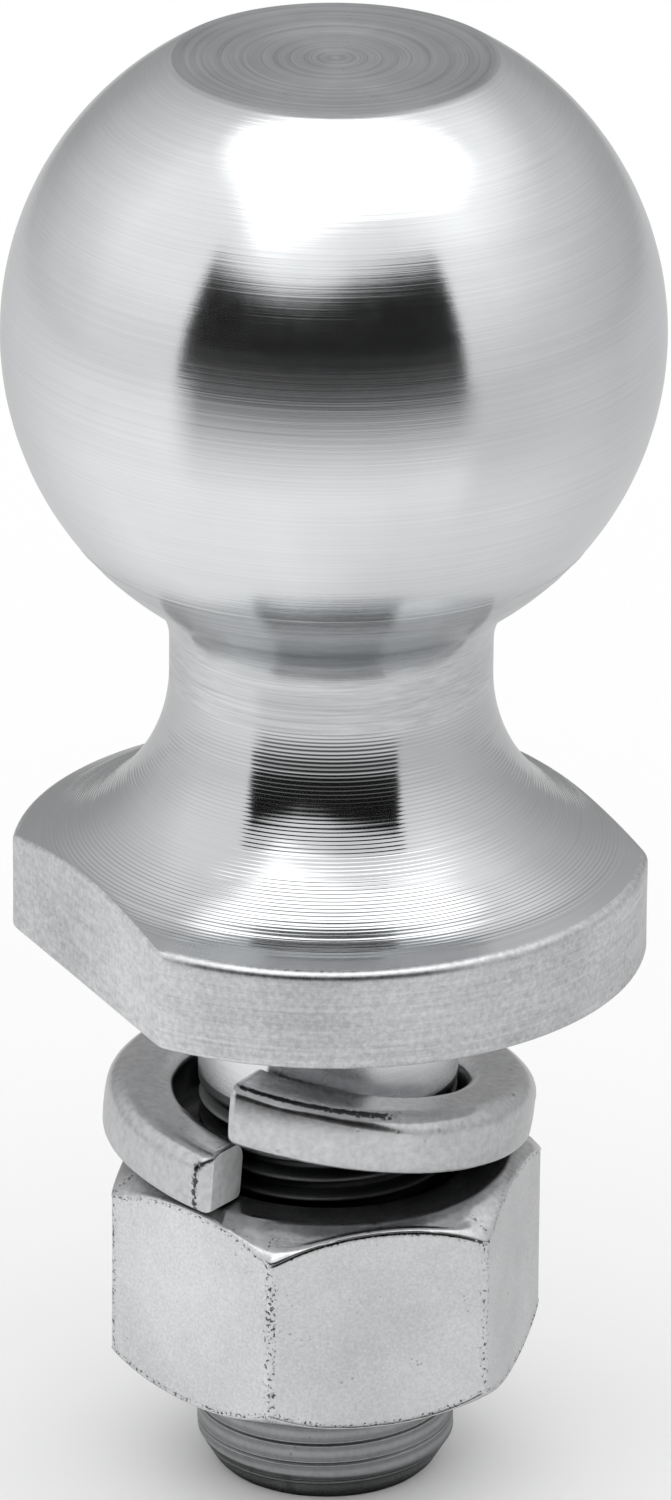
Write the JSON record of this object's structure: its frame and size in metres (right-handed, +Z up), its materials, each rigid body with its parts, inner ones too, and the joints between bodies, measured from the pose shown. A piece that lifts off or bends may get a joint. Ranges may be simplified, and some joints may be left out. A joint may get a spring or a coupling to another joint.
{
  "type": "threaded tow ball",
  "caption": "Steel ball on a waisted neck above a sloped collar with wrench flats and a threaded shank, carrying a loose split lock washer and a hexagon nut.",
  "frame": {"origin": "centre of the shank's lower end face", "axes": "+Z up the shank's axis towards the ball; the collar's two wrench flats face +X and -X"},
  "size_m": [0.0476, 0.0476, 0.1096],
  "materials": {
    "turned_plated_steel": "bright zinc plate over fine turning marks",
    "plated_spring_steel": "satin zinc plate, slightly uneven",
    "plated_nut_steel": "satin zinc plate with fine pits along the edges"
  },
  "bodies": {
    "tow_ball": {"tow_ball": "turned_plated_steel"},
    "lock_washer": {"lock_washer": "plated_spring_steel"},
    "hex_nut": {"hex_nut": "plated_nut_steel"}
  },
  "joints": [
    {"name": "washer_slide", "type": "slide", "parent": "tow_ball", "child": "lock_washer", "axis": [0, 0, 1], "range_m": [-0.02461, 0.00572]},
    {"name": "nut_turn", "type": "hinge", "parent": "lock_washer", "child": "hex_nut", "pos_m": [0, 0, 0.01655], "axis": [0, 0, 1], "range_deg": [-5580, 1296]}
  ],
  "couplings": [
    {"joint": "washer_slide", "follows": "nut_turn", "m_per_rad": 0.00025266}
  ]
}
